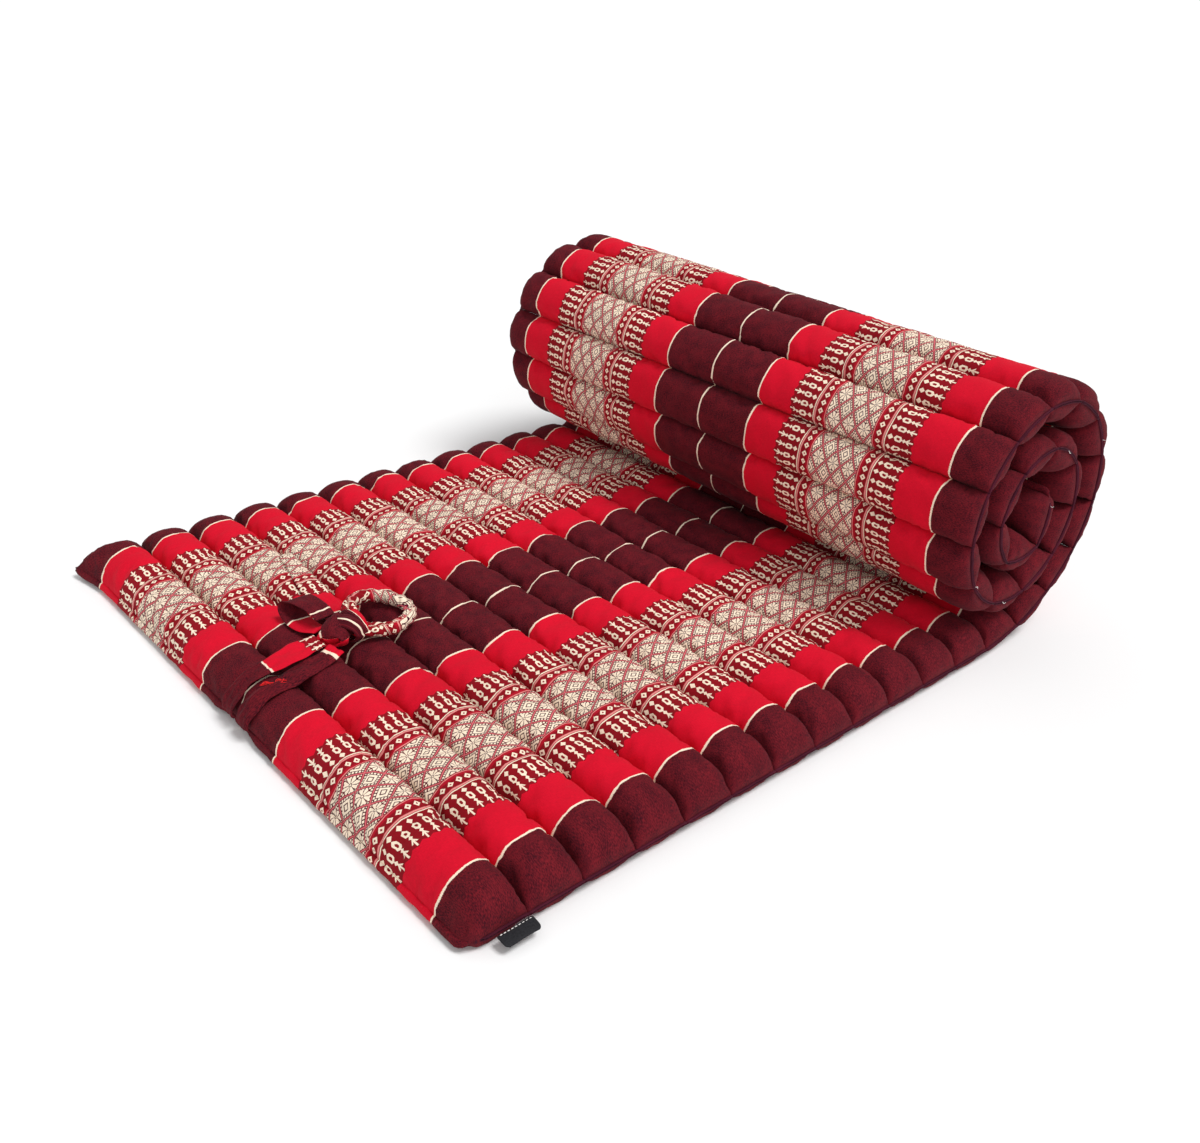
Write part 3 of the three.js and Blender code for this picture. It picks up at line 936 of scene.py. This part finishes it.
def band(name, rows, node, cloth_at, across, widths, cup, folds=1.0):
    """A folded strip of the cover's cloth along a route, and its length.

    cloth_at gives its place on the cloth's stripes, widths its share of the full width along it,
    cup how far it curls across, and folds how crumpled it is."""
    path, length = smooth_route(tie_points(rows), 4 * (len(rows) - 1) + 26)
    columns = 15
    points, uv = [], []
    for i, at in enumerate(path):
        share = i / (len(path) - 1)
        ahead = way_along(path, i)
        side = Vector(across) if across else Vector((-ahead.y, ahead.x, 0))
        side = (side - ahead * side.dot(ahead)).normalized()
        out = ahead.cross(side).normalized()
        if out.z < 0 and not across:
            out = -out
        for (s0, w0), (s1, w1) in zip(widths, widths[1:]):
            if s0 <= share <= s1:
                wide = BAND_HALF_WIDTH * (w0 + (w1 - w0) * (share - s0) / max(s1 - s0, 1e-6))
        run = share * length
        for layer in (1, -1):
            for j in range(columns):
                j = j if layer > 0 else columns - 1 - j
                t = 2 * j / (columns - 1) - 1
                ripple = noise.noise(Vector((run / 15, t * 2.2, length / 50))) * 1.3 * folds
                bend = cup * (t * t - 0.4)
                thick = BAND_THICKNESS[0] * (1 - abs(t) ** 4) + BAND_THICKNESS[1]
                points.append((at + side * t * wide + out * (ripple + bend + layer * thick)) * MM)
                uv.append((cloth_at(run), t * wide + layer * OTHER_LAYER))
    piece = new_piece(name, points, strip(len(path), 2 * columns), STRIPED, uv)
    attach(piece, "ties")
    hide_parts(node)
    return piece, length


def tie_bands():
    """The two bands from the hem to the knot, the bow's flat loop and the loose tail."""
    left, long = band(
        "tie_band_left",
        [(-3.7, 12, climb(0.105)), (-2.4, 11, climb(0.35)), (3, 8, climb(0.62)), (14, 7, climb(0.93)),
         (28, 5, above(4)), (42, 5, above(6)), (61, 8, above(6.5)), (78, 12, above(7)),
         (93, 12, above(9))],
        "tie_strap_left", lambda run: OUTER_RED + 58 - run, (0, 1, 0),
        ((0, 0.9), (0.3, 0.7), (0.5, 0.85), (0.8, 1.12), (1, 1.0)), 1.6, 1.6)
    right, long = band(
        "tie_band_right",
        [(-3.7, -15, climb(0.105)), (-2.4, -16, climb(0.35)), (3, -19, climb(0.62)),
         (14, -22, climb(0.91)), (28, -22, above(1.6)), (43, -19, above(1.8)), (64, -14, above(2)),
         (85, -10, above(4.5)), (99, -6, above(7))],
        "tie_strap_right", lambda run: INNER_RED - (114 - run) * 0.6, (0, 1, 0),
        ((0, 0.9), (0.3, 0.75), (0.6, 0.9), (1, 0.95)), -2.0, 2.4)
    bow, long = band(
        "tie_bow_loop",
        [(111, 30, above(19.5)), (110, 50, above(23)), (107, 72, above(21.5)), (103, 82, above(16)),
         (100, 79, above(9.5)), (99, 62, above(5.5)), (101, 42, above(6)), (105, 29.5, above(8.5))],
        "tie_bow", lambda run: run - 10, (-1, 0, 0), ((0, 0.8), (0.3, 1.0), (0.7, 1.0), (1, 0.8)), 1.0)
    tail, long = band(
        "tie_tail_band",
        [(134, 29, above(5.5)), (134, 50, above(5)), (137, 77, above(4)), (142, 108, above(3.5)),
         (147, 140, above(3)), (153, 170, above(2.5)), (156, 196, above(2.5))],
        "tie_tail", lambda run: 340 - run, None,
        ((0, 0.8), (0.15, 1.05), (0.5, 1.0), (0.75, 0.75), (1, 0.6)), -1.0)


tie_bands()


def wrap(centre, axis, rise, reach, tall, wide, cloth_at):
    """One turn of a band round the knot: its points, cloth map and faces.

    It goes round axis. Reach and tall are half sizes of the turn, and wide is the band's half width."""
    axis = Vector(axis).normalized()
    flat = axis.cross(Vector(rise)).normalized()
    steep = flat.cross(axis)
    rows, columns = 56, 11
    points, uv, faces = [], [], []
    for i in range(rows):
        turn = 2 * pi * i / rows
        out = (flat * cos(turn) / reach + steep * sin(turn) / tall).normalized()
        at = centre + flat * cos(turn) * reach + steep * sin(turn) * tall
        for layer in (1, -1):
            for j in range(columns):
                j = j if layer > 0 else columns - 1 - j
                t = 2 * j / (columns - 1) - 1
                fold = 1.3 * sin(t * 4.2 + turn * 1.5)
                fold += 1.1 * noise.noise(Vector((turn * 2.2, t * 1.6, wide)))
                thick = 1.5 * (1 - t**4) + 0.2
                stand = fold * 0.8 - 2.2 * t * t + layer * thick
                points.append((at + axis * t * wide + out * stand) * MM)
                uv.append((cloth_at(turn, t), t * wide + layer * OTHER_LAYER))
    sides = 2 * columns
    for i in range(rows):
        for j in range(sides):
            here, ahead, beside = i * sides, (i + 1) % rows * sides, (j + 1) % sides
            faces.append((here + j, here + beside, ahead + beside, ahead + j))
    return points, uv, faces


KNOT_CORE = (15, 12, 8)  # half sizes


def knot():
    """The bands' knot: a packed core with four turns of band pulled tight round it."""
    centre = Vector((118 - ORIGIN_X, 12, above(13)))
    points, uv = [], []
    rows, sides = 24, 40
    for i in range(rows + 1):
        lift = pi * clamp(i / rows, 0.004, 0.996)
        for j in range(sides):
            turn = 2 * pi * j / sides
            level = sin(lift)
            way = Vector((level * cos(turn), level * sin(turn), cos(lift)))
            swell = 0.9 + 0.1 * abs(sin(turn * 2 + lift * 2.4)) + 0.1 * noise.noise(way * 2.6)
            size = Vector((way.x * KNOT_CORE[0], way.y * KNOT_CORE[1], way.z * KNOT_CORE[2]))
            points.append((centre + size * swell) * MM)
            uv.append((20 + 24 * sin(turn + lift), turn * 16))
    faces = strip(rows + 1, sides)
    for place, axis, rise, sizes, cloth_at in (
        ((-4, 3, 0), (0.55, -0.8, 0.1), (0, 0.1, 1), (18, 11.5, 9.5), lambda a, t: 20 + 13 * a),
        ((4, -4, 0.5), (0.85, 0.5, 0.1), (0, 0, 1), (16.5, 11.5, 9.5), lambda a, t: 3 + 11 * t),
        ((-12, -5, -2), (0.75, 0.55, 0.0), (0, 0.2, 1), (13.5, 8.5, 8.5), lambda a, t: 50 + 9 * a),
        ((15, 2, 0), (1, -0.12, 0.05), (0, 0, 1), (20, 9.5, 8.0), lambda a, t: 62 + 13 * t + 5 * a),
    ):
        more, their_uv, their_faces = wrap(centre + Vector(place), axis, rise, *sizes, cloth_at)
        faces += [tuple(len(points) + i for i in face) for face in their_faces]
        points += more
        uv += their_uv
    piece = new_piece("tie_knot_wraps", points, faces, STRIPED, uv)
    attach(piece, "ties")
    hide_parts("tie_knot")


knot()

# ---- Label ----

# share of the way out from the seam, and half the tag's thickness there
TAG_ROWS = ((0.0, 0.75), (0.2, 0.75), (0.5, 0.75), (0.8, 0.75), (0.95, 0.55), (1.0, 0.55))
STITCHES = 9
FIRST_STITCH, NEXT_STITCH = 3.5, 3.4  # from the tag's end, and from one to the next


def label():
    """A folded tag sewn into the near side seam, with a white line of stitches along it."""
    low, high = (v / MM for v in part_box("label"))
    rows, columns = TAG_ROWS, 13
    points = []
    for side in (1, -1):
        for share, thick in rows:
            for c in range(columns):
                t = 2 * c / (columns - 1) - 1
                corner = 3.0 * clamp((share - 0.78) / 0.22) ** 2
                x = (low.x + high.x) / 2 + t * ((high.x - low.x) / 2 - corner * abs(t) ** 3)
                y = high.y + share * (low.y - high.y)
                z = (low.z + high.z) / 2 - 1.6 * share * share + side * thick
                z += 0.5 * sin(t * 2.2 + share)
                points.append(Vector((x, y, max(0.4, z))) * MM)
    grid = len(rows) * columns
    faces = []
    for r in range(len(rows) - 1):
        for c in range(columns - 1):
            a = r * columns + c
            faces.append((a, a + 1, a + columns + 1, a + columns))
            faces.append((grid + a, grid + a + columns, grid + a + columns + 1, grid + a + 1))
    rim = [*range(columns)] + [r * columns + columns - 1 for r in range(1, len(rows))]
    rim += [(len(rows) - 1) * columns + c for c in reversed(range(columns - 1))]
    rim += [r * columns for r in reversed(range(1, len(rows) - 1))]
    for a, b in zip(rim, rim[1:] + rim[:1]):
        faces.append((a, b, grid + b, grid + a))
    tag = new_piece("label_tag", points, faces, LABEL)
    smoother = tag.modifiers.new("rounding", "SUBSURF")
    smoother.levels = smoother.render_levels = 2
    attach(tag, "flat_part")
    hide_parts("label")
    stitches = []
    for i in range(STITCHES):
        at = Vector((low.x + FIRST_STITCH + i * NEXT_STITCH, high.y - 1.6, (low.z + high.z) / 2 + 1.0))
        stitches.append(stitch(at, Vector((1, 0, 0)), 2.4, 0.4))
    joined(stitches, "label_stitches", WHITE_THREAD, "flat_part")


def stitch(at, way, long, thick):
    """Points and faces of one raised stitch, in millimetres."""
    beside = way.cross(Vector((0, 0, 1))).normalized()
    up = beside.cross(way)
    points, faces = [], []
    for i in range(6):
        t = i / 5
        swell = thick * sqrt(max(0.03, 1 - (2 * t - 1) ** 2))
        for j in range(6):
            turn = pi * j / 3
            out = beside * cos(turn) + up * sin(turn)
            points.append(at + way * (t - 0.5) * long + out * swell)
    return points, strip(6, 6)


def joined(parts, name, material, body):
    """Stitches or threads made into one piece."""
    points, faces = [], []
    for some, their in parts:
        faces += [tuple(len(points) + i for i in face) for face in their]
        points += [p * MM for p in some]
    piece = new_piece(name, points, faces, material)
    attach(piece, body)


label()

# ---- Loose thread ends ----


def thread(start, ways, thick):
    """Points and faces of a thin thread through a few points, in millimetres."""
    steps, sides = 16, 5
    path, _ = smooth_route([start, *ways], steps)
    points = []
    for i, at in enumerate(path):
        ahead = way_along(path, i)
        beside = ahead.cross(Vector((0.31, 0.2, 0.93))).normalized()
        up = beside.cross(ahead)
        for j in range(sides):
            turn = 2 * pi * j / sides
            points.append(at + (beside * cos(turn) + up * sin(turn)) * thick)
    return points, strip(steps + 1, sides)


def loose_threads():
    """The frayed red end of thread on the right tie band."""
    rng = random.Random(7)
    strands = []
    for _ in range(6):
        x = -343 + rng.random() * 2
        y = -13 - rng.random() * 3
        z = above(2.2)
        ways = []
        for step in range(1, 5):
            aside, up = rng.uniform(-4.5, 4.5), rng.uniform(-1.0, 2.5)
            ways.append((x + step * 5.2, y - step * 1.5 + aside, z + up))
        strands.append(thread((x, y, z), ways, 0.34))
    joined(strands, "frayed_thread", RED_THREAD, "ties")


def seam_thread_ends():
    """White ends of sewing thread left standing on the rolled seam."""
    rng = random.Random(11)
    for k, share in ((17, 0.4), (23, 0.95), (25, 0.3), (29, 0.6), (34, 0.8)):
        along = share * PITCH
        root = in_place(k, along, 0.6, -HALF_COVER - 1.6, bow_out(k, along, 0)) / MM
        ways = [root + Vector((rng.uniform(-1, 1), -1.2 - j, rng.uniform(-1.2, 1.2))) for j in range(3)]
        end = [thread(root, ways, 0.27)]
        joined(end, f"thread_end_{k + 1:02d}", WHITE_THREAD, channel_body(k))


loose_threads()
seam_thread_ends()

# ---- Floor and light ----

FLOOR_SIZE = 160
LAMPS = (  # name, where its light comes from, strength, and width in degrees
    ("key", (0.3, -0.4, 1.0), 1.95, 25),
    ("fill", (-0.7, -1.0, 0.6), 0.6, 60),
)
ROOM_LIGHT = 0.5
BACKDROP = 1.0


def stage():
    """A plain pale floor and backdrop under soft studio light."""
    bpy.ops.mesh.primitive_plane_add(size=FLOOR_SIZE, location=(0, 0, -0.0005))
    floor = bpy.context.active_object
    floor.name = "floor"
    f = Finish("floor_paint", roughness=0.9, sheen=0.0)
    paint = f.mix(f.noise(f.object_place(), 3.0), (0.93, 0.93, 0.93, 1), (0.96, 0.96, 0.96, 1))
    floor.data.materials.append(f.paint(paint))
    world = bpy.data.worlds.new("studio")
    world.use_nodes = True
    nodes, links = world.node_tree.nodes, world.node_tree.links
    # the backdrop is plain and pale, and looks brighter than the light it gives
    room, backdrop = nodes["Background"], nodes.new("ShaderNodeBackground")
    for light, strength in ((room, ROOM_LIGHT), (backdrop, BACKDROP)):
        light.inputs[0].default_value = (1, 1, 1, 1)
        light.inputs[1].default_value = strength
    choose = nodes.new("ShaderNodeMixShader")
    links.new(nodes.new("ShaderNodeLightPath").outputs["Is Camera Ray"], choose.inputs[0])
    links.new(room.outputs[0], choose.inputs[1])
    links.new(backdrop.outputs[0], choose.inputs[2])
    links.new(choose.outputs[0], nodes["World Output"].inputs[0])
    bpy.context.scene.world = world
    for name, way, strength, angle in LAMPS:
        data = bpy.data.lights.new(name, "SUN")
        data.energy = strength
        data.angle = radians(angle)
        lamp = new_object(name, data)
        lamp.rotation_mode = "QUATERNION"
        lamp.rotation_quaternion = Vector(way).to_track_quat("Z", "Y")


stage()
bpy.context.scene.view_settings.view_transform = "Standard"
